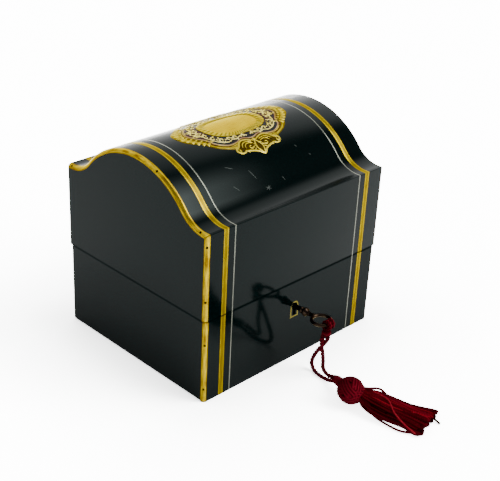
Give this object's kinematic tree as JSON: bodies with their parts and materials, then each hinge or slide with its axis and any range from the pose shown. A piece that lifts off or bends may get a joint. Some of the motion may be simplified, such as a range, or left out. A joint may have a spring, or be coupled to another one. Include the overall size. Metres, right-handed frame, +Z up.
{
  "type": "perfume casket",
  "caption": "Dome-lidded casket in black polished wood with inlaid brass bands and a boulle cartouche, hinged lid, front lock with its key and a crimson tassel",
  "frame": {"origin": "centre of the box's underside, on the surface it stands on", "axes": "+X to the right along the front, +Y to the back, +Z up; the front with the keyhole looks along -Y"},
  "size_m": [0.14, 0.2219, 0.1297],
  "materials": {
    "lacquer": "polished black",
    "brass": "polished",
    "white_metal": "polished",
    "shell": "polished",
    "dark_steel": "darkened",
    "crimson": "matt thread"
  },
  "bodies": {
    "base": {"base_box": "lacquer", "base_corner_moulding": "brass", "base_brass_band_left": "brass", "base_brass_band_right": "brass", "base_white_line_left": "white_metal", "base_white_line_right": "white_metal", "escutcheon": "brass", "lock": "brass", "key": "dark_steel", "hinge_base_leaf_left": "brass", "hinge_pin_left": "brass", "hinge_base_leaf_right": "brass", "hinge_pin_right": "brass", "cord_hitch": "crimson", "tassel_cord_left": "crimson", "tassel_cord_right": "crimson", "tassel_head": "crimson", "tassel_skirt": "crimson"},
    "lid": {"lid_shell": "lacquer", "lid_corner_moulding": "brass", "lid_arch_moulding": "brass", "lid_brass_band_left": "brass", "lid_brass_band_right": "brass", "lid_white_line_left": "white_metal", "lid_white_line_right": "white_metal", "cartouche_border": "brass", "cartouche_line": "white_metal", "cartouche_ground": "shell", "cartouche_rim": "brass", "cartouche_plate": "brass", "lock_keep": "brass", "hinge_lid_leaf_left": "brass", "hinge_lid_leaf_right": "brass"}
  },
  "joints": [
    {"name": "lid_hinge", "type": "hinge", "parent": "base", "child": "lid", "pos_m": [0, 0.0614, 0.0517], "axis": [-1, 0, 0], "range_deg": [0, 100]}
  ]
}
